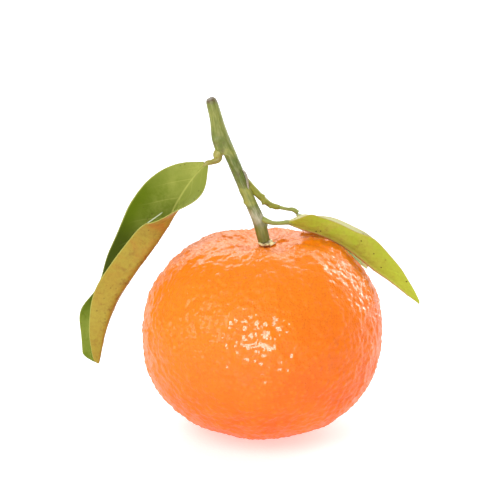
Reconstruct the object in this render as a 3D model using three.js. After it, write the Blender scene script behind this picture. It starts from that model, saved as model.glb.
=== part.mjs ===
// A clementine on its cut twig with three leaves. Millimetres, +Z up.
// The origin is the middle of the small flat spot that the fruit rests on; -Y faces the front.
import * as THREE from 'three';

// Fruit: a squat superellipse of revolution with a dimple on top.
const FRUIT_RADIUS = 30.1;
const FRUIT_TOP = 52.4;
const EQUATOR = 25.2;
const FLAT_DEPTH = 0.35;
const UPPER_POWER = 2.06;
const LOWER_POWER = 2.26;
const DIMPLE_DEPTH = 4.6;
const DIMPLE_RADIUS = 11.5;
// The right shoulder is a little higher and wider than the left one.
const SHOULDER_LIFT = 0.9;
const SHOULDER_SWELL = 0.027;
const SHOULDER_Z = 40;
const SHOULDER_SPREAD = 9;
const SHOULDER_RAMP = 6;
const CREST_X = 17.5;
const CREST_SPREAD = 8;

// Leaf blades: the tip rounds off past TIP_START of the length; the curl is summed in small steps.
const LEAF_THICKNESS = 0.45;
const TIP_START = 0.975;
const ROLL_STEPS = 4;

const CALYX_RADIUS = 2.5;
const CALYX_THICKNESS = 0.5;
const CALYX_CENTRE = [0.8, -0.2, 48.3];

// Main twig, from the calyx up to the cut end.
const TWIG_POINTS = [
  [0.45, 0, 49.4], [-0.8, 0, 54], [-3, 0.5, 59], [-5.2, 0.8, 64.3],
  [-7.5, 0.8, 69.9], [-10.2, 0.3, 76.5], [-12.2, -0.5, 83.6], [-12.7, -0.7, 85],
];
const TWIG_RADII = [1.5, 1.55, 1.42, 1.45, 1.48, 1.6, 1.4, 0.95];
const SCAR_REACH = 1.6;
const SCAR_FOOT = 71;
const SCAR_TOP = 81;

const LEFT_PETIOLE_POINTS = [[-11, 0.3, 70.6], [-11, 0, 69.7], [-12.3, -0.6, 69.2], [-13.4, -1.3, 69]];
const RIGHT_PETIOLE_POINTS = [[1.1, -0.5, 54.2], [2.4, -0.8, 53.8], [4.4, -0.8, 53.7], [6, -0.6, 53.8]];
const SHOOT_POINTS = [[-2.2, 1.2, 62.4], [-1.4, 1.4, 61], [0, 1.6, 59.4], [2, 2, 57.7], [4.1, 2.4, 56.9]];
const REAR_PETIOLE_POINTS = [[4.5, 2.5, 56.8], [6.2, 2.7, 56.4], [7.7, 2.9, 56.1], [8.3, 3, 55.7]];

// Each leaf: its midrib, the direction its upper face looks, its half width, and for the two halves
// beside the midrib their outline, the tilt towards the upper face and the extra roll, in degrees.
const LEFT_LEAF = {
  midrib: [
    [-13.8, -1.5, 68.9], [-17.4, -2.5, 64.9], [-20.9, -2.5, 59.4], [-23.6, -1, 53.4], [-27.2, 0, 47.4],
    [-31.9, 0, 40.8], [-36.6, 0, 33.2], [-39.7, -1, 25.1], [-41.3, -2, 17.5],
  ],
  normals: [
    [-0.35, -0.85, 0.35], [-0.35, -0.9, 0.3], [-0.35, -0.9, 0.25], [-0.35, -0.93, 0.2], [-0.4, -0.9, 0.2],
    [-0.65, -0.7, 0.2], [-0.75, -0.6, 0.2], [-0.6, -0.75, 0.1], [-0.4, -0.95, 0.1],
  ],
  halfWidth: 9.4,
  minus: {
    outline: [0.1, 0.6, 0.94, 0.86, 0.84, 0.84, 0.8, 0.56, 0.2],
    tilt: [12, 18, 30, 42, 45, 35, 30, 25, 25],
    roll: [0, 10, 50, 88, 110, 105, 105, 110, 110],
    bend: 0.45,
  },
  plus: {
    outline: [0.1, 0.5, 0.81, 1, 1.11, 1.14, 1.09, 1.02, 0.98, 0.88, 1.03, 0.68, 0.46],
    tilt: [5, 5, 5, 5, 0, 0, 0, 0, 0],
    roll: [0, 0, 5, 5, 10, 15, 5, 5, 0],
    bend: 0.8,
  },
};
const RIGHT_LEAF = {
  midrib: [
    [6.4, -0.5, 53.8], [10.2, 0, 52.1], [14.4, 1, 50.5], [19.5, 2, 47.7], [23.8, 2.3, 44.6],
    [28.3, 2, 41], [32.9, 1.5, 37.8], [36.7, 0.8, 34.7], [39.5, 0, 32.6],
  ],
  normals: [
    [0.1, -0.1, 1], [0.2, 0, 1], [0.4, 0, 0.9], [0.5, 0, 0.85], [0.55, 0, 0.8],
    [0.6, 0, 0.8], [0.6, 0, 0.8], [0.65, 0, 0.75], [0.7, 0, 0.7],
  ],
  halfWidth: 7.4,
  minus: {
    outline: [0.08, 0.5, 0.58, 0.75, 0.82, 0.9, 0.8, 0.6, 0.4, 0.2, 0.05],
    tilt: [45, 50, 50, 50, 50, 50, 50, 50, 50],
    roll: [0, 0],
    bend: 0.8,
  },
  plus: {
    outline: [0.08, 0.66, 0.65, 0.66, 0.7, 0.9, 0.84, 0.68, 0.44, 0.25, 0.05],
    tilt: [50, 62, 68, 70, 70, 70, 72, 74, 75],
    roll: [0, 0, 5, 5, 0, 0, 0, 0, 0],
    bend: 0.8,
  },
};
const REAR_LEAF = {
  midrib: [
    [8.7, 3, 55], [11.8, 6, 51.8], [15.5, 9, 49], [19.4, 11, 45.8],
    [22.6, 12, 42.5], [25.2, 12, 39.8], [26.9, 11.5, 38.3],
  ],
  normals: [
    [0.2, 0.2, 1], [0.3, 0.3, 1], [0.4, 0.3, 0.9], [0.5, 0.3, 0.85],
    [0.6, 0.3, 0.8], [0.65, 0.3, 0.75], [0.7, 0.3, 0.7],
  ],
  halfWidth: 5.2,
  minus: { outline: [0.1, 0.6, 0.85, 1, 0.95, 0.7, 0.25], tilt: [20, 20], roll: [0, 0], bend: 0.8 },
  plus: { outline: [0.1, 0.6, 0.85, 1, 0.95, 0.7, 0.25], tilt: [30, 30], roll: [0, 0], bend: 0.8 },
};

// Value at t in 0..1 of a smooth curve through a list of numbers or of [x, y, z] points.
function along(values, t) {
  const points = values.map((v) => (Array.isArray(v) ? new THREE.Vector3(...v) : new THREE.Vector3(v, 0, 0)));
  return new THREE.CatmullRomCurve3(points, false, 'catmullrom', 0.5).getPoint(t);
}

function tangent(values, t) {
  const step = 1e-3;
  return along(values, Math.min(t + step, 1)).sub(along(values, Math.max(t - step, 0))).normalize();
}

function smooth(x) {
  const c = THREE.MathUtils.clamp(x, 0, 1);
  return c * c * (3 - 2 * c);
}

function geometry(points, faces) {
  const result = new THREE.BufferGeometry();
  result.setAttribute('position', new THREE.Float32BufferAttribute(points.flatMap((p) => p.toArray()), 3));
  result.setIndex(faces.flat());
  result.computeVertexNormals();
  return result;
}

function mesh(name, shape, color, roughness) {
  const result = new THREE.Mesh(shape, new THREE.MeshStandardMaterial({ color, roughness, metalness: 0 }));
  result.name = name;
  return result;
}

// A round stalk with a closed end on each side; swell(point, outward) moves a ring's points.
function stalk(points, radii, rings, sides, swell = () => {}) {
  const vertices = [];
  const faces = [];
  for (let i = 0; i <= rings; i += 1) {
    const t = i / rings;
    const centre = along(points, t);
    const forward = tangent(points, t);
    const across = new THREE.Vector3(0, 1, 0.1).projectOnPlane(forward).normalize();
    const up = new THREE.Vector3().crossVectors(forward, across);
    for (let j = 0; j < sides; j += 1) {
      const a = (2 * Math.PI * j) / sides;
      const outward = across.clone().multiplyScalar(Math.cos(a)).addScaledVector(up, Math.sin(a));
      const p = centre.clone().addScaledVector(outward, along(radii, t).x);
      swell(p, outward);
      vertices.push(p);
    }
  }
  const last = rings * sides;
  for (let i = 0; i < rings; i += 1) {
    for (let j = 0; j < sides; j += 1) {
      const a = i * sides + j;
      const b = i * sides + ((j + 1) % sides);
      faces.push([a, b, b + sides], [a, b + sides, a + sides]);
    }
  }
  for (let j = 1; j < sides - 1; j += 1) {
    faces.push([0, j + 1, j], [last, last + j, last + j + 1]);
  }
  return geometry(vertices, faces);
}

// The middle surface of a leaf as rows of points from one margin over the midrib to the other.
function bladeRows(leaf, rows, columns) {
  const result = [];
  for (let i = 0; i <= rows; i += 1) {
    const t = i / rows;
    const forward = tangent(leaf.midrib, t);
    const normal = along(leaf.normals, t);
    normal.projectOnPlane(forward).normalize();
    const across = new THREE.Vector3().crossVectors(forward, normal);
    const blunt = Math.sqrt(1 - 0.9 * Math.max((t - TIP_START) / (1 - TIP_START), 0) ** 2);
    const row = [along(leaf.midrib, t)];
    for (const [side, half] of [[1, leaf.plus], [-1, leaf.minus]]) {
      const width = Math.max(leaf.halfWidth * along(half.outline, t).x * blunt, 0.15);
      const tilt = THREE.MathUtils.degToRad(along(half.tilt, t).x);
      const roll = THREE.MathUtils.degToRad(along(half.roll, t).x);
      const p = along(leaf.midrib, t);
      for (let j = 0; j < columns; j += 1) {
        for (let k = 0; k < ROLL_STEPS; k += 1) {
          const angle = tilt + roll * smooth((j + (k + 0.5) / ROLL_STEPS) / columns / half.bend);
          const length = width / columns / ROLL_STEPS;
          p.addScaledVector(across, side * length * Math.cos(angle));
          p.addScaledVector(normal, length * Math.sin(angle));
        }
        if (side > 0) row.push(p.clone());
        else row.unshift(p.clone());
      }
    }
    result.push(row);
  }
  return result;
}

// A leaf blade: the middle surface thickened to both sides and closed round its rim.
function blade(leaf, rows, columns) {
  const grid = bladeRows(leaf, rows, columns);
  const count = grid[0].length;
  const at = (i, j) => grid[THREE.MathUtils.clamp(i, 0, rows)][THREE.MathUtils.clamp(j, 0, count - 1)];
  const upper = [];
  const lower = [];
  for (let i = 0; i <= rows; i += 1) {
    for (let j = 0; j < count; j += 1) {
      const down = at(i + 1, j).clone().sub(at(i - 1, j));
      const over = at(i, j + 1).clone().sub(at(i, j - 1));
      const normal = new THREE.Vector3().crossVectors(down, over).setLength(LEAF_THICKNESS / 2);
      upper.push(at(i, j).clone().add(normal));
      lower.push(at(i, j).clone().sub(normal));
    }
  }
  const faces = [];
  const base = upper.length;
  const quad = (a, b, c, d) => faces.push([a, b, c], [a, c, d]);
  for (let i = 0; i < rows; i += 1) {
    for (let j = 0; j < count - 1; j += 1) {
      const a = i * count + j;
      quad(a, a + count, a + count + 1, a + 1);
      quad(base + a, base + a + 1, base + a + count + 1, base + a + count);
    }
    const first = i * count;
    const end = first + count - 1;
    quad(first, base + first, base + first + count, first + count);
    quad(end, end + count, base + end + count, base + end);
  }
  for (let j = 0; j < count - 1; j += 1) {
    const tip = rows * count + j;
    quad(j, j + 1, base + j + 1, base + j);
    quad(tip, base + tip, base + tip + 1, tip + 1);
  }
  return geometry([...upper, ...lower], faces);
}

function fruit() {
  const profile = [new THREE.Vector2(0, 0)];
  const depth = EQUATOR + FLAT_DEPTH;
  const start = Math.acos((EQUATOR / depth) ** (LOWER_POWER / 2));
  const lowerRings = 13;
  const upperRings = 17;
  for (let i = 0; i < lowerRings; i += 1) {
    const a = THREE.MathUtils.lerp(start, Math.PI / 2, i / lowerRings);
    const r = FRUIT_RADIUS * Math.sin(a) ** (2 / LOWER_POWER);
    const z = i === 0 ? 0 : EQUATOR - depth * Math.cos(a) ** (2 / LOWER_POWER);
    profile.push(new THREE.Vector2(r, z));
  }
  for (let i = 0; i <= upperRings; i += 1) {
    const a = (Math.PI / 2) * (1 - i / upperRings);
    const r = i === upperRings ? 0 : FRUIT_RADIUS * Math.sin(a) ** (2 / UPPER_POWER);
    const rise = (FRUIT_TOP - EQUATOR) * Math.max(Math.cos(a), 0) ** (2 / UPPER_POWER);
    const dimple = DIMPLE_DEPTH * Math.exp(-((r / DIMPLE_RADIUS) ** 2));
    profile.push(new THREE.Vector2(r, EQUATOR + rise - dimple));
  }
  const shape = new THREE.LatheGeometry(profile, 44);
  shape.rotateX(Math.PI / 2);
  const position = shape.attributes.position;
  for (let i = 0; i < position.count; i += 1) {
    const x = position.getX(i);
    const z = position.getZ(i);
    const right = Math.max(x, 0) / Math.max(Math.hypot(x, position.getY(i)), 1e-6);
    const band = (z - SHOULDER_Z) / SHOULDER_SPREAD;
    const wide = x * (1 + SHOULDER_SWELL * Math.exp(-(band ** 2)) * right);
    const crest = Math.exp(-(((wide - CREST_X) / CREST_SPREAD) ** 2));
    position.setX(i, wide);
    position.setZ(i, z + SHOULDER_LIFT * crest * smooth((z - SHOULDER_Z) / SHOULDER_RAMP));
  }
  return shape;
}

// Five blunt lobes round a small disc, slightly turned.
function calyx() {
  const star = new THREE.Shape();
  const steps = 40;
  for (let i = 0; i < steps; i += 1) {
    const a = (2 * Math.PI * i) / steps;
    const r = CALYX_RADIUS * (0.8 + 0.2 * Math.cos(5 * a + 1));
    if (i === 0) star.moveTo(r * Math.cos(a), r * Math.sin(a));
    else star.lineTo(r * Math.cos(a), r * Math.sin(a));
  }
  const shape = new THREE.ExtrudeGeometry(star, { depth: CALYX_THICKNESS, bevelEnabled: false });
  return shape.translate(...CALYX_CENTRE);
}

// The leaf scar near the twig's top: a flare to the left that ends in a flat underside.
function scar(point, outward) {
  const height = (point.z - SCAR_FOOT) / (SCAR_TOP - SCAR_FOOT);
  if (height < 0 || height > 1) return;
  point.x -= SCAR_REACH * (1 - smooth(height)) * smooth(0.5 - 0.8 * outward.x);
}

const clementine = new THREE.Group();
clementine.add(
  mesh('fruit', fruit(), 0xf57a1e, 0.35),
  mesh('calyx', calyx(), 0x7d7740, 0.8),
  mesh('twig', stalk(TWIG_POINTS, TWIG_RADII, 40, 12, scar), 0x717a3a, 0.7),
  mesh('left_petiole', stalk(LEFT_PETIOLE_POINTS, [0.8, 0.8, 0.65, 0.6], 12, 8), 0x9a8a32, 0.65),
  mesh('left_leaf', blade(LEFT_LEAF, 28, 6), 0x6d8a2a, 0.45),
  mesh('right_petiole', stalk(RIGHT_PETIOLE_POINTS, [0.65, 0.55, 0.5, 0.55], 10, 8), 0x8f9a3a, 0.6),
  mesh('right_leaf', blade(RIGHT_LEAF, 24, 4), 0xa9a83a, 0.5),
  mesh('side_shoot', stalk(SHOOT_POINTS, [0.35, 0.5, 0.75, 0.7, 0.6], 14, 8), 0x8b8a40, 0.7),
  mesh('rear_petiole', stalk(REAR_PETIOLE_POINTS, [0.5, 0.45, 0.5, 0.55], 8, 8), 0x8f9a3a, 0.6),
  mesh('rear_leaf', blade(REAR_LEAF, 18, 3), 0x5f7a40, 0.5),
);

export default clementine;
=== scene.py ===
"""A clementine on its cut twig, with three leaves.

Metres, +Z up, -Y towards the front. The origin is the middle of the fruit's flat spot, where the
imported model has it. Lists of points and sizes are in millimetres and are scaled by MM.
"""

import math

import bpy
import numpy as np
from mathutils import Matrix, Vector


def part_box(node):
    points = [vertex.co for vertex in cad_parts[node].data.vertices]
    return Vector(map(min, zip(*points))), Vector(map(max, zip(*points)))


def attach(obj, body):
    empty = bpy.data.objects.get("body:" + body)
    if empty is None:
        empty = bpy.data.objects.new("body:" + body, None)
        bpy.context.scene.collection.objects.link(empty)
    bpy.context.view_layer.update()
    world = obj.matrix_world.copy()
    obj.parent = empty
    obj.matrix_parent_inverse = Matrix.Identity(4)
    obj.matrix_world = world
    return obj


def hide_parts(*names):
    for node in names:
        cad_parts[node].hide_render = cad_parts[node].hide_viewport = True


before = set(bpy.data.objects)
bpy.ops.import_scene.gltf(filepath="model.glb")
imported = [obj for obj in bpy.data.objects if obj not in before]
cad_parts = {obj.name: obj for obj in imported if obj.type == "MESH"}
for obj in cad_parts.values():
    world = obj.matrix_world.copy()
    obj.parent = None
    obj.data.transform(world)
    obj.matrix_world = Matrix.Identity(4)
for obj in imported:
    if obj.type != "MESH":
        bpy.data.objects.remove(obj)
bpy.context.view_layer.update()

MM = 0.001
FRUIT_LOW, FRUIT_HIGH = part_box("fruit")

# --------------------------------------------------------------------------- formulas in node trees


class Field:
    """A number or vector in a node tree. Arithmetic on it adds Math nodes."""

    def __init__(self, graph, socket):
        self.graph = graph
        self.socket = socket

    def __add__(self, other):
        return self.graph.math("ADD", self, other)

    def __radd__(self, other):
        return self.graph.math("ADD", other, self)

    def __sub__(self, other):
        return self.graph.math("SUBTRACT", self, other)

    def __mul__(self, other):
        return self.graph.math("MULTIPLY", self, other)

    def __truediv__(self, other):
        return self.graph.math("DIVIDE", self, other)

    def __rtruediv__(self, other):
        return self.graph.math("DIVIDE", other, self)

    def __pow__(self, other):
        return self.graph.math("POWER", self, other)


class Graph:
    """A node tree being built."""

    def __init__(self, tree):
        self.tree = tree

    def plug(self, socket, value):
        """Links a Field to an input, or sets the input to a plain value."""
        if isinstance(value, Field):
            self.tree.links.new(value.socket, socket)
        else:
            socket.default_value = value

    def node(self, kind, inputs=None, **settings):
        """Adds a node. inputs maps an input's name or number to a value or a Field."""
        node = self.tree.nodes.new(kind)
        for name, value in settings.items():
            setattr(node, name, value)
        for key, value in (inputs or {}).items():
            self.plug(node.inputs[key], value)
        return node

    def field(self, kind, inputs=None, output=0, **settings):
        return Field(self, self.node(kind, inputs, **settings).outputs[output])

    def math(self, operation, *values):
        """A Math node of Fields and numbers."""
        return self.field("ShaderNodeMath", dict(enumerate(values)), operation=operation)

    def unit(self, vector):
        return self.field("ShaderNodeVectorMath", {0: vector}, operation="NORMALIZE")

    def vector(self, x, y, z):
        return self.field("ShaderNodeCombineXYZ", {0: x, 1: y, 2: z})

    def split(self, vector):
        node = self.node("ShaderNodeSeparateXYZ", {0: vector})
        return [Field(self, output) for output in node.outputs]

    def scaled(self, vector, factor):
        return self.field("ShaderNodeVectorMath", {0: vector, "Scale": factor}, operation="SCALE")

    def smooth(self, value, low, high, start=0.0, end=1.0):
        """start below low, end above high, and a smooth step between."""
        node = self.node("ShaderNodeMapRange", interpolation_type="SMOOTHSTEP")
        for key, number in zip((0, 1, 2, 3, 4), (value, low, high, start, end)):
            self.plug(node.inputs[key], number)
        return Field(self, node.outputs[0])

    def exp(self, value):
        return self.math("EXPONENT", value)

    def noise(self, position, scale, detail=2.0, roughness=0.5, offset=0.0):
        """Noise round 0.5. Another offset gives another pattern."""
        return self.field(
            "ShaderNodeTexNoise",
            {"Vector": position, "W": offset, "Scale": scale, "Detail": detail, "Roughness": roughness},
            noise_dimensions="4D",
        )

    def cells(self, position, scale):
        """Distance to the middle of the nearest cell, in cells, rounded off where cells meet."""
        inputs = {"Vector": position, "Scale": scale, "Randomness": 0.85, "Smoothness": 0.4}
        return self.field("ShaderNodeTexVoronoi", inputs, feature="SMOOTH_F1")

    def dots(self, position, scale):
        """Distance to the nearest dot, in cells."""
        inputs = {"Vector": position, "Scale": scale, "Randomness": 0.85}
        return self.field("ShaderNodeTexVoronoi", inputs)


BARK_STRETCH = 0.12 / MM
VEIN_LEAN = 1.25
VEIN_SWEEP = 0.5


def bark_place(graph, length, turn):
    """A place on a stretched tube, where noise runs in streaks along the stalk."""
    return graph.vector(graph.math("COSINE", turn), graph.math("SINE", turn), length * BARK_STRETCH)


def vein_count(along_blade, edge, veins):
    """How many side veins lie below a place on a blade. It is a whole number on each vein."""
    return along_blade * veins - edge * VEIN_LEAN - edge * edge * VEIN_SWEEP


# --------------------------------------------------------------------------- materials


class Finish(Graph):
    """A Principled material being built from colours, patterns and a height."""

    def __init__(self, name, roughness, specular, coat=0.0):
        self.material = bpy.data.materials.new(name)
        self.material.use_nodes = True
        super().__init__(self.material.node_tree)
        self.shader = self.tree.nodes["Principled BSDF"]
        self.shader.inputs["Roughness"].default_value = roughness
        self.shader.inputs["Specular IOR Level"].default_value = specular
        self.shader.inputs["Coat Weight"].default_value = coat
        self.shader.inputs["Coat Roughness"].default_value = 0.15

    def place(self):
        """Where a point is on its object, in metres."""
        return self.field("ShaderNodeTexCoord", output=3)

    def attribute(self, name):
        """A vector that is stored on the mesh."""
        return self.field("ShaderNodeAttribute", output=1, attribute_name=name)

    def blend(self, amount, low, high):
        """low where amount is 0, high where it is 1."""
        node = self.node("ShaderNodeMix", data_type="RGBA")
        self.plug(node.inputs[0], amount)
        for socket, colour in ((node.inputs[6], low), (node.inputs[7], high)):
            self.plug(socket, colour if isinstance(colour, Field) else (*colour, 1.0))
        return Field(self, node.outputs[2])

    def finish(self, colour, height, depth):
        """Joins the colour and a bump of the height, whose full size is depth metres."""
        self.plug(self.shader.inputs["Base Color"], colour)
        bump = self.field("ShaderNodeBump", {"Height": height, "Distance": depth, "Strength": 1.0})
        self.plug(self.shader.inputs["Normal"], bump)
        return self.material


def rind_finish():
    """Glossy orange rind: deeper patches, paler glands, darker pits, and painted light that makes it yellower
    and lighter high on the left.
    """
    rind = Finish("orange_rind", roughness=0.5, specular=0.08, coat=0.37)
    place = rind.place()
    patches = rind.smooth(rind.noise(place, 110.0, 4.0, 0.6), 0.35, 0.68)
    colour = rind.blend(patches, (0.77, 0.112, 0.001), (0.83, 0.15, 0.001))
    x, _, z = rind.split(place)
    # Painted light: yellower and lighter towards the top and the left, where the light falls, and redder low
    # on the right.
    lit_top_left = rind.smooth(z - x * 0.4, 3 * MM, 52 * MM, 0.0, 0.92)
    colour = rind.blend(lit_top_left, colour, (0.86, 0.215, 0.001))
    glands = rind.cells(place, 1 / GLAND_SPACING)
    colour = rind.blend(rind.smooth(glands, 0.1, 0.45, 0.3, 0.0), colour, (0.84, 0.23, 0.008))
    pits = rind.smooth(rind.cells(place, 2.4 / GLAND_SPACING), 0.0, 0.6, 1.0, 0.0)
    colour = rind.blend(pits * 0.3, colour, (0.68, 0.088, 0.001))
    return rind.finish(colour, pits, 0.07 * MM)


def bark_finish(name, green, pale, brown, streaks=0.5, bands=()):
    """Young bark: lengthwise pale streaks over green. bands are (height, spread, tint, strength)."""
    bark = Finish(name, roughness=0.48, specular=0.28)
    length, turn, _ = bark.split(bark.attribute("stalk"))
    lines = bark.noise(bark_place(bark, length, turn), 3.2, 4.0, 0.6)
    colour = bark.blend(bark.smooth(lines, 0.42, 0.75, 0.0, streaks), green, pale)
    blotches = bark.noise(bark.place(), 700.0, 3.0)
    colour = bark.blend(bark.smooth(blotches, 0.5, 0.75, 0.0, 0.6), colour, brown)
    height = bark.split(bark.place())[2] / MM + (blotches - 0.5) * 3.0
    for middle, spread, tint, strength in bands:
        away = (height - middle) / spread
        patchy = bark.smooth(lines, 0.3, 0.62, 0.35, 1.0)
        colour = bark.blend(bark.exp(away * away * -1.0) * patchy * strength, colour, tint)
    return bark.finish(colour, lines, 0.12 * MM)


def upper_colour(leaf, tint, along_blade, across, mottle, fine):
    """Green, paler near the stalk and on the near half, with painted shade: darker on the far half inside the
    trough, and a dark band where the other half shades the blade.
    """
    colour = leaf.blend(leaf.smooth(mottle, 0.35, 0.7), tint["upper"], tint["pale"])
    colour = leaf.blend(leaf.smooth(along_blade, 0.0, 0.3, 0.5, 0.0), colour, tint["rib"])
    colour = leaf.blend(leaf.smooth(across, -0.35, 0.05, 0.95, 0.0), colour, tint["pale"])
    colour = leaf.blend(leaf.smooth(fine, 0.42, 0.66, 0.0, 0.45), colour, tint["pale"])
    # Painted shade: the far half is darkened inside the trough, where the rolled-over half shades it.
    far = leaf.smooth(across, 0.3, 0.88) * leaf.smooth(along_blade, 0.05, 0.36)
    colour = leaf.blend(far * leaf.smooth(along_blade, 0.75, 0.9, 1.0, 0.3), colour, tint["painted_shade"])
    # Painted shade: a dark band along the middle of the blade, where the other half shades the upper side.
    hollow_shade = leaf.smooth(along_blade, 0.4, 0.6, 0.0, 0.8) * leaf.smooth(along_blade, 0.72, 0.86, 1.0, 0.0)
    return leaf.blend(hollow_shade, colour, tuple(0.3 * part for part in tint["painted_shade"]))


def under_colour(leaf, tint, along_blade, edge, mottle, fine):
    """Duller, with mottling that is partly real and partly painted orange bounce light from the fruit, brown
    stains, and a darker band along the midrib that is partly real brown and partly painted shade.
    """
    # Mottling, partly real and partly painted orange bounce light from the fruit, strongest towards the
    # stalk.
    warm_mottle_and_bounce = leaf.smooth(mottle, 0.4, 0.68) * leaf.smooth(along_blade, 0.3, 0.85, 1.0, 0.15)
    colour = leaf.blend(warm_mottle_and_bounce, tint["under"], tint["warm_mottle_and_bounce"])
    colour = leaf.blend(leaf.smooth(fine, 0.42, 0.66, 0.0, 0.2), colour, tint["keel_stain_and_shade"])
    stains = leaf.smooth(leaf.noise(leaf.place(), 480.0, 6.0, 0.72), 0.5, 0.66, 0.0, 0.75)
    colour = leaf.blend(stains * leaf.smooth(edge, 0.2, 0.9, 1.0, 0.35), colour, tint["keel_stain_and_shade"])
    # Darker along the midrib below: partly a real brown line, partly painted shade along the fold.
    keel_stain_and_shade = leaf.smooth(edge, 0.02, 0.4, 0.6, 0.0) * leaf.smooth(along_blade, 0.45, 0.8, 1.0, 0.3)
    return leaf.blend(keel_stain_and_shade, colour, tint["keel_stain_and_shade"])


def pale_lines(leaf, along_blade, edge, side, veins):
    """Where the side veins above, the midrib and the margin show."""
    phase = vein_count(along_blade, edge, veins) * math.tau
    wave = leaf.math("MAXIMUM", leaf.math("COSINE", phase), 0.0)
    vein = wave**60.0 * leaf.smooth(edge, 0.3, 0.9, 0.32, 0.0) * side
    midrib = leaf.smooth(edge, 0.012, 0.045, 0.8, 0.0)
    margin = leaf.smooth(edge, 0.96, 0.99, 0.0, 0.7)
    return leaf.math("MAXIMUM", leaf.math("MAXIMUM", vein, midrib), margin)


def painted_streak_highlight(leaf, along_blade, across, side, strength):
    """A painted highlight: a short slanting pale streak on the upper side, just before the blade rolls over.
    """
    share = (along_blade - 0.33) / 0.1
    beside = leaf.math("ABSOLUTE", across - share * 0.2 - 0.22)
    within = leaf.smooth(leaf.math("ABSOLUTE", share - 0.5), 0.35, 0.55, strength, 0.0)
    return leaf.smooth(beside, 0.006, 0.02, 1.0, 0.0) * within * side


def leaf_finish(name, tint, veins, specks=0.5, streak_highlight_strength=0.0):
    """A leathery blade: green above, duller below, with veins, a margin, a painted highlight streak and
    specks.
    """
    leaf = Finish(name, roughness=0.42, specular=0.12)
    leaf.shader.inputs["Specular Tint"].default_value = (1.0, 1.0, 0.3, 1.0)
    place = leaf.place()
    along_blade, across, side = leaf.split(leaf.attribute("blade"))
    edge = leaf.math("ABSOLUTE", across)
    mottle = leaf.noise(place, 260.0, 4.0, 0.6)
    fine = leaf.noise(place, 1500.0, 2.0)
    above = upper_colour(leaf, tint, along_blade, across, mottle, fine)
    below = under_colour(leaf, tint, along_blade, edge, mottle, fine)
    colour = leaf.blend(side, below, above)
    colour = leaf.blend(pale_lines(leaf, along_blade, edge, side, veins), colour, tint["rib"])
    if streak_highlight_strength:
        # Painted highlight: a near-white streak where the blade folds, standing in for a reflection.
        painted_streak_mask = painted_streak_highlight(leaf, along_blade, across, side, streak_highlight_strength)
        colour = leaf.blend(painted_streak_mask, colour, (0.8, 0.85, 0.6))
    chosen = leaf.smooth(leaf.noise(place, 240.0, 1.0, offset=3.0), 0.46, 0.54)
    speckled = leaf.smooth(leaf.dots(place, 620.0), 0.08, 0.17, specks, 0.0) * chosen
    colour = leaf.blend(speckled, colour, (0.07, 0.04, 0.015))
    return leaf.finish(colour, fine + mottle, 0.05 * MM)


def plain_finish(name, colour, darker, roughness):
    """A dull colour with soft darker blotches, for the calyx, the torn bark and the floor."""
    finish = Finish(name, roughness=roughness, specular=0.3)
    blotches = finish.noise(finish.place(), 900.0, 4.0, 0.6)
    mixed = finish.blend(finish.smooth(blotches, 0.4, 0.62), colour, darker)
    return finish.finish(mixed, blotches, 0.08 * MM)


# --------------------------------------------------------------------------- curves, meshes, trees


def along(values, t):
    """A smooth curve through a list of numbers or points, read at each t from 0 to 1."""
    points = np.array(values, float).reshape(len(values), -1)
    points = np.vstack([2 * points[0] - points[1], points, 2 * points[-1] - points[-2]])
    place = np.clip(t, 0, 1) * (len(values) - 1)
    first = np.minimum(place.astype(int), len(values) - 2)
    f = (place - first)[:, None]
    a, b, c, d = (points[first + k] for k in range(4))
    curve = 2 * b + (c - a) * f + (2 * a - 5 * b + 4 * c - d) * f**2 + (3 * b - a - 3 * c + d) * f**3
    return curve / 2


def unit(vectors):
    """The vectors, each made one long."""
    return vectors / np.linalg.norm(vectors, axis=-1, keepdims=True)


def smooth(x):
    """0 below 0, 1 above 1, and a smooth step between."""
    x = np.clip(x, 0, 1)
    return x * x * (3 - 2 * x)


def quads(index):
    """The four-cornered faces between the rows and columns of a grid of vertex numbers."""
    corners = (index[:-1, :-1], index[:-1, 1:], index[1:, 1:], index[1:, :-1])
    return list(zip(*(corner.ravel() for corner in corners)))


def mesh_object(name, vertices, faces, material):
    mesh = bpy.data.meshes.new(name)
    mesh.from_pydata([tuple(v) for v in vertices], [], [tuple(f) for f in faces])
    mesh.materials.append(material)
    mesh.shade_smooth()
    piece = bpy.data.objects.new(name, mesh)
    bpy.context.collection.objects.link(piece)
    return piece


def geometry_tree(name, sockets):
    """A Geometry Nodes tree with named inputs. Returns its graph and the inputs as Fields."""
    tree = bpy.data.node_groups.new(name, "GeometryNodeTree")
    tree.interface.new_socket("Geometry", in_out="INPUT", socket_type="NodeSocketGeometry")
    for label, kind in sockets.items():
        tree.interface.new_socket(label, in_out="INPUT", socket_type=f"NodeSocket{kind}")
    tree.interface.new_socket("Geometry", in_out="OUTPUT", socket_type="NodeSocketGeometry")
    graph = Graph(tree)
    entry = tree.nodes.new("NodeGroupInput")
    return graph, {output.name: Field(graph, output) for output in entry.outputs if output.name}


def close_tree(graph, geometry, material):
    """Ends a tree in Realize Instances and Set Material."""
    real = graph.field("GeometryNodeRealizeInstances", {0: geometry})
    done = graph.field("GeometryNodeSetMaterial", {"Geometry": real, "Material": material})
    graph.node("NodeGroupOutput", {0: done})
    return graph.tree


def grow(name, source, tree, values):
    """Runs a tree on a source object with stated inputs, and returns the result as a plain mesh."""
    modifier = source.modifiers.new(tree.name, "NODES")
    modifier.node_group = tree
    for item in tree.interface.items_tree:
        if item.in_out == "INPUT" and item.name in values:
            modifier[item.identifier] = values[item.name]
    depsgraph = bpy.context.evaluated_depsgraph_get()
    mesh = bpy.data.meshes.new_from_object(source.evaluated_get(depsgraph), depsgraph=depsgraph)
    mesh.name = name
    mesh.shade_smooth()
    bpy.data.objects.remove(source)
    piece = bpy.data.objects.new(name, mesh)
    bpy.context.collection.objects.link(piece)
    return piece


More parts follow.
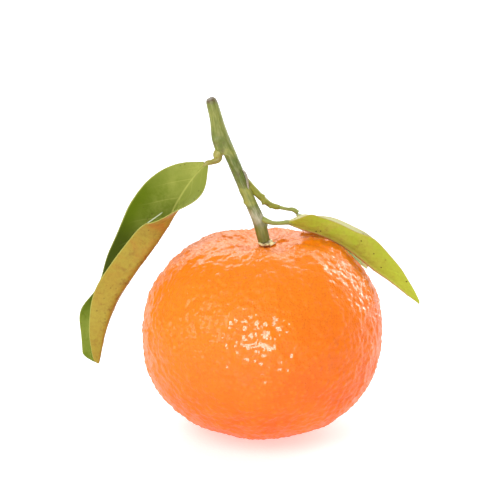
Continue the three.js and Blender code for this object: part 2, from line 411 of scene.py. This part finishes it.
def vertex_array(mesh, field="co"):
    """The places of a mesh's vertices, or their normals, one to a row."""
    values = np.empty(len(mesh.vertices) * 3)
    mesh.vertices.foreach_get(field, values)
    return values.reshape(-1, 3)


def stand_for(piece, node):
    """Puts a finished piece in the place of its CAD node."""
    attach(piece, "root")
    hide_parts(node)


# --------------------------------------------------------------------------- fruit

FRUIT = {
    "Radius": (FRUIT_HIGH[1] - FRUIT_LOW[1]) / 2,
    "Top": 52.4 * MM,
    "Equator": 25.2 * MM,
    "Flat depth": 0.35 * MM,
    "Upper power": 2.06,
    "Lower power": 2.26,
    "Dimple depth": 4.6 * MM,
    "Dimple radius": 11.5 * MM,
    "Shoulder lift": 0.9 * MM,
    "Shoulder swell": 0.027,
    "Shoulder height": 40 * MM,
    "Shoulder spread": 9 * MM,
    "Shoulder ramp": 6 * MM,
    "Crest place": 17.5 * MM,
    "Crest spread": 8 * MM,
    "Gland spacing": 1.45 * MM,
    "Gland height": 0.26 * MM,
    "Wrinkle height": 0.6 * MM,
    "Ripple height": 0.55 * MM,
}
GLAND_SPACING = FRUIT["Gland spacing"]
FRUIT_SEGMENTS = 127
# Below this height the rind stays flat, so that the fruit rests on its spot.
SPOT_HEIGHT = 0.05 * MM


def fruit_tree():
    """A cube blown up to the fruit's outline, then dimpled, wrinkled and covered with glands."""
    kinds = {name: "Float" for name in FRUIT}
    g, size = geometry_tree("clementine", {**kinds, "Segments": "Int", "Rind": "Material"})
    segments = size["Segments"]
    cube_inputs = {"Size": (2.0, 2.0, 2.0), 1: segments, 2: segments, 3: segments}
    body = g.field("GeometryNodeMeshCube", cube_inputs)
    cube = g.split(g.field("GeometryNodeInputPosition"))
    even = g.vector(*(g.math("TANGENT", axis * (math.pi / 4)) for axis in cube))
    x, y, z = g.split(g.unit(even))
    flat = g.math("MAXIMUM", (x * x + y * y) ** 0.5, 1e-6)
    rise = g.math("ABSOLUTE", z)
    upper = g.math("GREATER_THAN", z, 0.0)
    power = size["Lower power"] + (size["Upper power"] - size["Lower power"]) * upper
    low_half = size["Equator"] + size["Flat depth"]
    half = low_half + (size["Top"] - size["Equator"] - low_half) * upper
    reach = (flat**power + rise**power) ** (-1.0 / power)
    radius = size["Radius"] * reach * flat
    from_stem = radius / size["Dimple radius"]
    dimple = size["Dimple depth"] * g.exp(from_stem * from_stem * -1.0) * upper
    up = half * reach * z
    height = g.math("MAXIMUM", size["Equator"] + up - dimple, 0.0)
    east = x / flat
    band = (height - size["Shoulder height"]) / size["Shoulder spread"]
    swell = 1.0 + size["Shoulder swell"] * g.exp(band * band * -1.0) * g.math("MAXIMUM", east, 0.0)
    wide = radius * east * swell
    crest = (wide - size["Crest place"]) / size["Crest spread"]
    ramp_top = size["Shoulder height"] + size["Shoulder ramp"]
    ramp = g.smooth(height, size["Shoulder height"], ramp_top)
    lift = size["Shoulder lift"] * g.exp(crest * crest * -1.0) * ramp
    place = g.vector(wide, radius * y / flat, height + lift)
    body = g.field("GeometryNodeSetPosition", {"Geometry": body, "Position": place})

    here = g.field("GeometryNodeInputPosition")
    px, py, pz = g.split(here)
    span = g.math("MAXIMUM", (px * px + py * py) ** 0.5, 1e-6)
    spokes = g.vector(px / span * 2.3, py / span * 2.3, span * (0.03 / MM))
    folds = g.noise(spokes, 1.6, 3.0, 0.55) - 0.5
    round_stem = g.smooth(span, 1.5 * MM, 6 * MM) * g.smooth(span, 11 * MM, 30 * MM, 1.0, 0.25)
    wrinkle = folds * round_stem * g.smooth(pz, 30 * MM, 46 * MM) * size["Wrinkle height"] * 4.0
    swells = (g.noise(here, 70.0, 1.0) - 0.5) + (g.noise(here, 230.0, 2.0) - 0.5) * 1.2
    ripple = swells * size["Ripple height"] * 2.0
    spread = g.noise(here, 220.0, 1.0) * 0.8 + 0.6
    dome = g.smooth(g.cells(here, 1.0 / size["Gland spacing"]), 0.05, 0.75, 1.0, 0.0)
    relief = wrinkle + ripple + dome * spread * size["Gland height"]
    relief = relief * g.smooth(pz, SPOT_HEIGHT, 3 * MM)
    offset = g.scaled(g.field("GeometryNodeInputNormal"), relief - size["Gland height"] * 0.5)
    offset = g.scaled(offset, g.smooth(pz, SPOT_HEIGHT, 1.5 * MM))
    body = g.field("GeometryNodeSetPosition", {"Geometry": body, "Offset": offset})
    return close_tree(g, body, size["Rind"])


def add_fruit():
    """The whole rind, grown by its tree from an empty mesh."""
    seed = bpy.data.objects.new("fruit_seed", bpy.data.meshes.new("fruit_seed"))
    bpy.context.collection.objects.link(seed)
    values = {**FRUIT, "Segments": FRUIT_SEGMENTS, "Rind": rind_finish()}
    piece = grow("fruit_rind", seed, fruit_tree(), values)
    stand_for(piece, "fruit")


# --------------------------------------------------------------------------- stalks


def stalk_tree():
    """A tapering stalk along a curve: lengthwise ridges, closed ends, and its own coordinates."""
    kinds = {"Step": "Float", "Sides": "Int", "Ridge height": "Float", "Seed": "Float", "Bark": "Material"}
    g, size = geometry_tree("stalk", kinds)
    spaced = {"Curve": size["Geometry"], "Length": size["Step"]}
    line = g.field("GeometryNodeResampleCurve", spaced, mode="LENGTH")
    length = g.field("GeometryNodeSplineParameter", output=1)
    line = g.field("GeometryNodeStoreNamedAttribute", {"Geometry": line, "Name": "length", "Value": length})
    circle = g.field("GeometryNodeCurvePrimitiveCircle", {"Resolution": size["Sides"], "Radius": 1.0})
    turn = g.field("GeometryNodeSplineParameter", output=0) * math.tau
    circle = g.field("GeometryNodeStoreNamedAttribute", {"Geometry": circle, "Name": "turn", "Value": turn})
    radius = g.field("GeometryNodeInputRadius")
    sweep = {"Curve": line, "Profile Curve": circle, "Scale": radius, "Fill Caps": True}
    skin = g.field("GeometryNodeCurveToMesh", sweep)
    length = g.field("GeometryNodeInputNamedAttribute", {"Name": "length"}, data_type="FLOAT")
    turn = g.field("GeometryNodeInputNamedAttribute", {"Name": "turn"}, data_type="FLOAT")
    own = g.vector(length, turn, 0.0)
    stored = {"Geometry": skin, "Name": "stalk", "Value": own}
    skin = g.field("GeometryNodeStoreNamedAttribute", stored, data_type="FLOAT_VECTOR")
    ridges = g.noise(bark_place(g, length, turn), 2.6, 3.0, 0.55, offset=size["Seed"]) - 0.5
    offset = g.scaled(g.field("GeometryNodeInputNormal"), ridges * size["Ridge height"] * 2.0)
    skin = g.field("GeometryNodeSetPosition", {"Geometry": skin, "Offset": offset})
    return close_tree(g, skin, size["Bark"])


def stalk(tree, name, points, radii, finish, sides=32, ridge=0.05, seed=0.0, knots=()):
    """A stalk through points in millimetres. knots are (x, y, z, height, spread) bumps on its skin."""
    t = np.linspace(0, 1, 12 * len(points))
    path = along(points, t) * MM
    curve = bpy.data.curves.new(name, "CURVE")
    curve.dimensions = "3D"
    spline = curve.splines.new("POLY")
    spline.points.add(len(path) - 1)
    for point, place, radius in zip(spline.points, path, along(radii, t)[:, 0]):
        point.co = (*place, 1.0)
        point.radius = radius * MM
    source = bpy.data.objects.new(name, curve)
    bpy.context.collection.objects.link(source)
    values = {"Step": 0.22 * MM, "Sides": sides, "Ridge height": ridge * MM, "Seed": seed, "Bark": finish}
    piece = grow(name, source, tree, values)
    place = vertex_array(piece.data)
    outward = vertex_array(piece.data, "normal")
    for x, y, z, height, spread in knots:
        gap = np.linalg.norm(place / MM - (x, y, z), axis=1) / spread
        place += outward * (height * MM * np.exp(-gap * gap))[:, None]
    piece.data.vertices.foreach_set("co", place.ravel())
    return piece


TWIG_POINTS = [
    (0.5, 0, 48.9), (-0.8, 0, 54), (-3, 0.5, 59), (-5.2, 0.8, 64.3),
    (-7.5, 0.8, 69.9), (-10.2, 0.3, 76.5), (-12.2, -0.5, 83.6), (-12.7, -0.7, 85),
]
TWIG_RADII = [1.5, 1.55, 1.42, 1.45, 1.48, 1.6, 1.4, 0.95]
TWIG_HALF = 1.45
SCAR_REACH = 1.6
SCAR_FOOT = 71
SCAR_TOP = 81


def add_twig(tree):
    """The main stalk, with pale and olive rings, knots, and a leaf scar flared to the left."""
    brown = (0.1, 0.055, 0.025)
    lime = (0.38, 0.37, 0.07)
    olive = (0.27, 0.28, 0.055)
    bands = [
        (51, 2.2, olive, 0.6), (53.6, 0.35, brown, 0.25), (55.3, 1.8, (0.5, 0.46, 0.33), 0.8),
        (60.2, 2.2, olive, 1.1), (58.7, 0.45, lime, 0.55), (61.9, 0.8, lime, 0.6),
        (71.6, 1.2, lime, 0.5), (80, 5, olive, 0.85), (85.3, 1.1, brown, 1.3),
    ]
    green = bark_finish("twig_bark", (0.105, 0.14, 0.014), (0.27, 0.27, 0.1), brown, 0.75, bands)
    knots = [
        (-6.0, -0.6, 61.0, 0.4, 1.0), (-4.6, 0, 58.6, 0.45, 0.5), (-3.2, -0.9, 57.9, 0.25, 0.8),
        (1.2, -0.6, 53.2, 0.45, 0.6), (-10.6, -1, 74.6, 0.35, 0.8),
    ]
    piece = stalk(tree, "twig_with_scar", TWIG_POINTS, TWIG_RADII, green, 48, 0.14, 1.0, knots)
    place = vertex_array(piece.data)
    centre = np.interp(place[:, 2] / MM, [p[2] for p in TWIG_POINTS], [p[0] for p in TWIG_POINTS])
    outward = (place[:, 0] / MM - centre) / TWIG_HALF
    height = (place[:, 2] / MM - SCAR_FOOT) / (SCAR_TOP - SCAR_FOOT)
    flare = SCAR_REACH * (1 - smooth(height)) * smooth(0.5 - 0.8 * outward) * (height >= 0)
    place[:, 0] -= flare * MM
    piece.data.vertices.foreach_set("co", place.ravel())
    stand_for(piece, "twig")


LEFT_PETIOLE_POINTS = [
    (-10.3, 0.5, 72), (-10.9, 0.3, 70.8), (-10.9, 0, 69.7), (-12.3, -0.6, 69.2), (-13.4, -1.3, 69.1),
    (-14.4, -1.8, 68.3),
]
RIGHT_PETIOLE_POINTS = [
    (0, -0.5, 54.6), (2.4, -0.8, 53.8), (4.4, -0.8, 53.7), (6.4, -0.5, 53.8), (7.8, -0.4, 53.3),
]
SHOOT_POINTS = [(-4.2, 0.9, 64.4), (-2, 1.3, 61.6), (0, 1.6, 59.4), (2, 2, 57.7), (4.2, 2.4, 56.9)]
REAR_PETIOLE_POINTS = [(4, 2.4, 57), (6.2, 2.7, 56.4), (7.7, 2.9, 56.2), (8.9, 3, 55.4)]


def add_side_stalks(tree):
    """The leaves' stalks and the knobbly side shoot."""
    ochre = bark_finish("ochre_stalk", (0.3, 0.27, 0.045), (0.42, 0.36, 0.1), (0.2, 0.14, 0.035), 0.5)
    lime = bark_finish("lime_stalk", (0.26, 0.29, 0.05), (0.38, 0.38, 0.13), (0.17, 0.14, 0.035), 0.5)
    shoot = bark_finish("shoot_bark", (0.24, 0.245, 0.018), (0.38, 0.34, 0.06), (0.14, 0.08, 0.03), 0.5)
    radii = [1.1, 1.2, 0.9, 0.65, 0.65, 0.35]
    piece = stalk(tree, "left_leaf_stalk", LEFT_PETIOLE_POINTS, radii, ochre, 24, 0.06, 2.0)
    stand_for(piece, "left_petiole")
    radii = [0.85, 0.55, 0.5, 0.6, 0.35]
    piece = stalk(tree, "right_leaf_stalk", RIGHT_PETIOLE_POINTS, radii, lime, 24, 0.04, 3.0)
    stand_for(piece, "right_petiole")
    knots = [
        (0.5, 1.2, 60.3, 0.65, 0.4), (0.3, 1.2, 58.3, 0.6, 0.4),
        (2.0, 1.3, 56.9, 0.65, 0.4), (3.2, 1.6, 56.3, 0.5, 0.4),
    ]
    radii = [0.8, 0.88, 0.8, 0.7, 0.6]
    piece = stalk(tree, "side_shoot_bark", SHOOT_POINTS, radii, shoot, 24, 0.1, 4.0, knots)
    stand_for(piece, "side_shoot")
    radii = [0.5, 0.42, 0.55, 0.6]
    piece = stalk(tree, "rear_leaf_stalk", REAR_PETIOLE_POINTS, radii, lime, 24, 0.04, 5.0)
    stand_for(piece, "rear_petiole")


# --------------------------------------------------------------------------- leaves

LEFT_LEAF = {
    "midrib": [
        (-13.8, -1.5, 68.9), (-17.4, -2.5, 64.9), (-20.9, -2.5, 59.4), (-23.6, -1, 53.4), (-27.2, 0, 47.4),
        (-31.9, 0, 40.8), (-36.6, 0, 33.2), (-39.7, -1, 25.1), (-41.3, -2, 17.5),
    ],
    "normals": [
        (-0.35, -0.85, 0.35), (-0.35, -0.9, 0.3), (-0.35, -0.9, 0.25), (-0.35, -0.93, 0.2), (-0.4, -0.9, 0.2),
        (-0.65, -0.7, 0.2), (-0.75, -0.6, 0.2), (-0.6, -0.75, 0.1), (-0.4, -0.95, 0.1),
    ],
    "half_width": 9.4,
    "veins": 9.0,
    "plus": {
        "outline": [0.1, 0.5, 0.81, 1, 1.11, 1.14, 1.09, 1.02, 0.98, 0.88, 1.03, 0.68, 0.46],
        "tilt": [5, 5, 5, 5, 0, 0, 0, 0, 0],
        "roll": [0, 0, 5, 5, 10, 15, 5, 5, 0],
        "bend": 0.8,
    },
    "minus": {
        "outline": [0.1, 0.6, 0.94, 0.86, 0.84, 0.84, 0.8, 0.56, 0.2],
        "tilt": [12, 18, 30, 42, 45, 35, 30, 25, 25],
        "roll": [0, 10, 50, 88, 110, 105, 105, 110, 110],
        "bend": 0.45,
    },
}
RIGHT_LEAF = {
    "midrib": [
        (6.4, -0.5, 53.8), (10.2, 0, 52.1), (14.4, 1, 50.5), (19.5, 2, 47.7), (23.8, 2.3, 44.6),
        (28.3, 2, 41), (32.9, 1.5, 37.8), (36.7, 0.8, 34.7), (39.5, 0, 32.6),
    ],
    "normals": [
        (0.1, -0.1, 1), (0.2, 0, 1), (0.4, 0, 0.9), (0.5, 0, 0.85), (0.55, 0, 0.8),
        (0.6, 0, 0.8), (0.6, 0, 0.8), (0.65, 0, 0.75), (0.7, 0, 0.7),
    ],
    "half_width": 7.4,
    "veins": 8.0,
    "plus": {
        "outline": [0.08, 0.66, 0.65, 0.66, 0.7, 0.9, 0.84, 0.68, 0.44, 0.25, 0.05],
        "tilt": [50, 62, 68, 70, 70, 70, 72, 74, 75],
        "roll": [0, 0, 5, 5, 0, 0, 0, 0, 0],
        "bend": 0.8,
    },
    "minus": {
        "outline": [0.08, 0.5, 0.58, 0.75, 0.82, 0.9, 0.8, 0.6, 0.4, 0.2, 0.05],
        "tilt": [45, 50, 50, 50, 50, 50, 50, 50, 50],
        "roll": [0, 0],
        "bend": 0.8,
    },
}
REAR_LEAF = {
    "midrib": [
        (8.7, 3, 55), (11.8, 6, 51.8), (15.5, 9, 49), (19.4, 11, 45.8),
        (22.6, 12, 42.5), (25.2, 12, 39.8), (26.9, 11.5, 38.3),
    ],
    "normals": [
        (0.2, 0.2, 1), (0.3, 0.3, 1), (0.4, 0.3, 0.9), (0.5, 0.3, 0.85),
        (0.6, 0.3, 0.8), (0.65, 0.3, 0.75), (0.7, 0.3, 0.7),
    ],
    "half_width": 5.2,
    "veins": 6.0,
    "plus": {"outline": [0.1, 0.6, 0.85, 1, 0.95, 0.7, 0.25], "tilt": [30, 30], "roll": [0, 0], "bend": 0.8},
    "minus": {"outline": [0.1, 0.6, 0.85, 1, 0.95, 0.7, 0.25], "tilt": [20, 20], "roll": [0, 0], "bend": 0.8},
}
LEAF_THICKNESS = 0.38
VEIN_GROOVE = 0.07
VEIN_RIDGE = 0.09
RIB_GROOVE = 0.14
RIB_RIDGE = 0.3
RIB_WIDTH = 0.055
TIP_START = 0.975
LEAF_ROWS = 150
LEAF_COLUMNS = 36


def blade_surface(leaf):
    """The leaf's middle surface, in millimetres, with along and across for each of its points."""
    t = np.linspace(0, 1, LEAF_ROWS + 1)
    step = 1e-3
    midrib = along(leaf["midrib"], t)
    forward = unit(along(leaf["midrib"], t + step) - along(leaf["midrib"], t - step))
    normal = along(leaf["normals"], t)
    normal = unit(normal - (normal * forward).sum(1, keepdims=True) * forward)
    sideways = np.cross(forward, normal)
    blunt = np.sqrt(1 - 0.9 * np.clip((t - TIP_START) / (1 - TIP_START), 0, 1) ** 2)[:, None]
    halves = []
    for side, half in ((1, leaf["plus"]), (-1, leaf["minus"])):
        width = np.maximum(leaf["half_width"] * along(half["outline"], t) * blunt, 0.15)
        share = (np.arange(LEAF_COLUMNS) + 0.5) / LEAF_COLUMNS
        tilt = np.radians(along(half["tilt"], t))
        angle = tilt + np.radians(along(half["roll"], t)) * smooth(share / half["bend"])
        run = np.cumsum(np.cos(angle), 1) * width / LEAF_COLUMNS
        rise = np.cumsum(np.sin(angle), 1) * width / LEAF_COLUMNS
        outward = side * run[..., None] * sideways[:, None]
        halves.append(midrib[:, None] + outward + rise[..., None] * normal[:, None])
    surface = np.concatenate([halves[1][:, ::-1], midrib[:, None], halves[0]], 1)
    across = np.arange(-LEAF_COLUMNS, LEAF_COLUMNS + 1) / LEAF_COLUMNS
    grid_along, grid_across = np.meshgrid(t, across, indexing="ij")
    return surface, grid_along, grid_across


def add_leaf(name, node, leaf, finish):
    """A closed blade with a raised midrib and veins below and a groove above."""
    surface, t, across = blade_surface(leaf)
    rows, columns = across.shape
    over = np.gradient(surface, axis=1)
    down = np.gradient(surface, axis=0)
    normal = unit(np.cross(over, down))
    edge = np.abs(across)
    phase = vein_count(t, edge, leaf["veins"]) * math.tau
    vein = np.maximum(np.cos(phase), 0) ** 24 * (1 - smooth((edge - 0.5) / 0.45))
    rib = np.exp(-((edge / RIB_WIDTH) ** 2)) * (1 - smooth((t - 0.75) / 0.25))
    half = LEAF_THICKNESS / 2 * (1 - 0.5 * smooth((edge - 0.7) / 0.3))
    upper = surface + normal * (half - VEIN_GROOVE * vein - RIB_GROOVE * rib)[..., None]
    lower = surface - normal * (half + VEIN_RIDGE * vein + RIB_RIDGE * rib)[..., None]
    vertices = np.concatenate([upper.reshape(-1, 3), lower.reshape(-1, 3)]) * MM
    index = np.arange(rows * columns).reshape(rows, columns)
    under = index + rows * columns
    rim = np.array([*index[0, :], *index[1:, -1], *index[-1, -2::-1], *index[-2::-1, 0]])
    wall = np.stack([rim, rim + rows * columns])[:, ::-1]
    faces = quads(index) + quads(under.T) + quads(wall)
    piece = mesh_object(name, vertices, faces, finish)
    blade = piece.data.attributes.new("blade", "FLOAT_VECTOR", "POINT")
    side = np.concatenate([np.ones(t.size), np.zeros(t.size)])
    values = np.stack([np.tile(t.ravel(), 2), np.tile(across.ravel(), 2), side], 1)
    blade.data.foreach_set("vector", values.ravel())
    stand_for(piece, node)


ROLLED_TINT = {
    "upper": (0.13, 0.172, 0.014), "pale": (0.23, 0.262, 0.044), "painted_shade": (0.083, 0.126, 0.001),
    "under": (0.36, 0.275, 0.042), "warm_mottle_and_bounce": (0.4, 0.185, 0.035), "keel_stain_and_shade": (0.22, 0.09, 0.025),
    "rib": (0.42, 0.42, 0.1),
}
# The folded leaf's upper colours are partly its own pale yellow-green and partly painted sheen on the far
# half's upper side.
FOLDED_TINT = {
    "upper": (0.5, 0.5, 0.16), "pale": (0.66, 0.65, 0.36), "painted_shade": (0.5, 0.5, 0.16),
    "under": (0.4, 0.485, 0.045), "warm_mottle_and_bounce": (0.46, 0.47, 0.065), "keel_stain_and_shade": (0.3, 0.235, 0.04),
    "rib": (0.5, 0.36, 0.14),
}
# The rear leaf's underside colours are painted pale: painted light standing in for light coming through the
# thin leaf from behind.
SHADED_TINT = {
    "upper": (0.2, 0.26, 0.06), "pale": (0.28, 0.33, 0.12), "painted_shade": (0.2, 0.26, 0.06),
    "under": (0.6, 0.85, 0.7), "warm_mottle_and_bounce": (0.65, 0.85, 0.72), "keel_stain_and_shade": (0.5, 0.75, 0.5),
    "rib": (0.55, 0.7, 0.45),
}


def add_leaves():
    """The rolled left leaf, the folded right one, and the thin rear one: light comes through it, and its pale
    underside is painted light.
    """
    rolled = leaf_finish("rolled_leaf", ROLLED_TINT, LEFT_LEAF["veins"], streak_highlight_strength=0.9)
    add_leaf("left_leaf_blade", "left_leaf", LEFT_LEAF, rolled)
    folded = leaf_finish("folded_leaf", FOLDED_TINT, RIGHT_LEAF["veins"], specks=0.9)
    add_leaf("right_leaf_blade", "right_leaf", RIGHT_LEAF, folded)
    shaded = leaf_finish("rear_leaf", SHADED_TINT, REAR_LEAF["veins"])
    thin = shaded.node_tree.nodes["Principled BSDF"]
    thin.inputs["Subsurface Weight"].default_value = 0.8
    thin.inputs["Subsurface Radius"].default_value = (0.8, 1.0, 0.5)
    thin.inputs["Subsurface Scale"].default_value = 1.5 * MM
    add_leaf("rear_leaf_blade", "rear_leaf", REAR_LEAF, shaded)


# --------------------------------------------------------------------------- calyx and torn bark

CALYX_MIDDLE = (1.1, -0.3)
CALYX_REACH = 2.5
CALYX_TOP = 48.65
CALYX_FOOT = 48.0
CALYX_RINGS = 10
CALYX_SPOKES = 80


def add_calyx():
    """A small star, cupped on its lobes' tips, that lies in the dimple round the twig's foot."""
    angle = np.arange(CALYX_SPOKES) * math.tau / CALYX_SPOKES
    lobes = np.cos(5 * angle + 1)
    reach = CALYX_REACH * (0.8 + 0.2 * lobes) * (1 + 0.06 * np.sin(3 * angle))
    x, y = CALYX_MIDDLE
    rows = []
    for side, base in ((1, CALYX_TOP), (-1, CALYX_FOOT)):
        for share in np.arange(1, CALYX_RINGS + 1) / CALYX_RINGS:
            height = base + side * (0.12 * (1 - share) - 0.2 * share**6) + 0.35 * share**3 * lobes
            radius = reach * share
            rows.append(np.stack([x + radius * np.cos(angle), y + radius * np.sin(angle), height], 1))
    vertices = np.concatenate([*rows, [(x, y, CALYX_TOP + 0.15), (x, y, CALYX_FOOT - 0.1)]]) * MM
    middle_top, middle_foot = len(vertices) - 2, len(vertices) - 1
    index = np.arange(2 * CALYX_RINGS * CALYX_SPOKES).reshape(2, CALYX_RINGS, CALYX_SPOKES)
    upper, lower = np.concatenate([index, index[:, :, :1]], 2)
    faces = quads(upper.T) + quads(lower) + quads(np.stack([upper[-1], lower[-1]]).T)
    faces += [(middle_top, k, n) for k, n in zip(upper[0], upper[0, 1:])]
    faces += [(middle_foot, n, k) for k, n in zip(lower[0], lower[0, 1:])]
    # The calyx colour is painted paler than its own grey-green: painted light to offset the shade it sits in.
    finish = plain_finish("calyx_star", (0.86, 0.78, 0.4), (0.34, 0.24, 0.11), 0.7)
    stand_for(mesh_object("calyx_star", vertices, faces, finish), "calyx")


def add_torn_bark(tree):
    """A pale sliver of bark that has lifted off the twig above the side shoot."""
    finish = plain_finish("torn_bark", (0.45, 0.4, 0.32), (0.28, 0.24, 0.17), 0.8)
    points = [(-3.1, 0.1, 60.6), (-3.5, -0.2, 62.6), (-3.7, -0.1, 64.4), (-4.1, 0.1, 66), (-4.9, 0.3, 67.2)]
    piece = stalk(tree, "torn_bark", points, [0.12, 0.22, 0.3, 0.26, 0.1], finish, 12, 0.05, 6.0)
    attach(piece, "root")


# --------------------------------------------------------------------------- floor, light, camera

FLOOR_REACH = 5.0
FLOOR_GREY = (0.72, 0.72, 0.72)
MIDDLE = (0, 0, 0.03)
CAMERA_TILT = math.radians(16)
CAMERA_DISTANCE = 466.8 * MM
CAMERA_AIM = (-3 * MM, 0, 46.55 * MM)


def add_floor():
    """A wide pale floor that glows a little, so it stays white out to its edge."""
    finish = plain_finish("pale_floor", FLOOR_GREY, FLOOR_GREY, 0.6)
    shader = finish.node_tree.nodes["Principled BSDF"]
    shader.inputs["Emission Color"].default_value = (1, 1, 1, 1)
    shader.inputs["Emission Strength"].default_value = 0.5
    corners = [(x * FLOOR_REACH, y * FLOOR_REACH, 0) for x, y in ((-1, -1), (1, -1), (1, 1), (-1, 1))]
    mesh_object("floor", corners, [(0, 1, 2, 3)], finish)


def add_light(name, place, width, height, power, diffuse=True, glossy=True):
    """A rectangular lamp aimed at the fruit's middle."""
    light = bpy.data.lights.new(name, "AREA")
    light.shape = "RECTANGLE"
    light.size = width
    light.size_y = height
    light.energy = power
    lamp = bpy.data.objects.new(name, light)
    lamp.location = place
    direction = np.array(MIDDLE) - np.array(place)
    lamp.rotation_euler = (
        math.atan2(math.hypot(direction[0], direction[1]), -direction[2]),
        0,
        math.atan2(direction[1], direction[0]) - math.pi / 2,
    )
    lamp.visible_diffuse = diffuse
    lamp.visible_glossy = glossy
    bpy.context.collection.objects.link(lamp)


def add_lights():
    """A white studio. Glints show only as reflections, and the soft light only as shading."""
    world = bpy.data.worlds.new("studio")
    world.use_nodes = True
    world.node_tree.nodes["Background"].inputs["Color"].default_value = (1, 1, 1, 1)
    world.node_tree.nodes["Background"].inputs["Strength"].default_value = 0.68
    bpy.context.scene.world = world
    add_light("front_glint", (-0.09, -0.95, 0.3), 0.42, 0.36, 14.5, diffuse=False)
    add_light("left_glint", (-0.86, -0.5, 0.42), 0.5, 0.5, 4.6, diffuse=False)
    add_light("back_glint", (0.1, 1.0, 0.8), 2.0, 0.7, 12.0, diffuse=False)
    add_light("soft_light", (-0.45, -0.75, 0.85), 0.8, 0.8, 8.2, glossy=False)
    add_light("right_light", (0.72, 0.6, 0.36), 0.12, 0.7, 5.6)
    add_light("back_light", (-0.15, 1.1, 0.85), 1.8, 0.8, 7.0)


def add_camera():
    """Looks down on the front of the fruit through a long lens."""
    camera = bpy.data.cameras.new("camera")
    camera.lens = 135
    camera.sensor_width = 36
    camera.clip_start = 0.01
    holder = bpy.data.objects.new("camera", camera)
    x, y, z = CAMERA_AIM
    back = CAMERA_DISTANCE * math.cos(CAMERA_TILT)
    up = CAMERA_DISTANCE * math.sin(CAMERA_TILT)
    holder.location = (x, y - back, z + up)
    holder.rotation_euler = (math.pi / 2 - CAMERA_TILT, 0, 0)
    bpy.context.collection.objects.link(holder)
    bpy.context.scene.camera = holder
    bpy.context.scene.view_settings.view_transform = "Standard"


add_camera()
add_lights()
add_floor()
add_fruit()
stalks = stalk_tree()
add_twig(stalks)
add_side_stalks(stalks)
add_torn_bark(stalks)
add_calyx()
add_leaves()
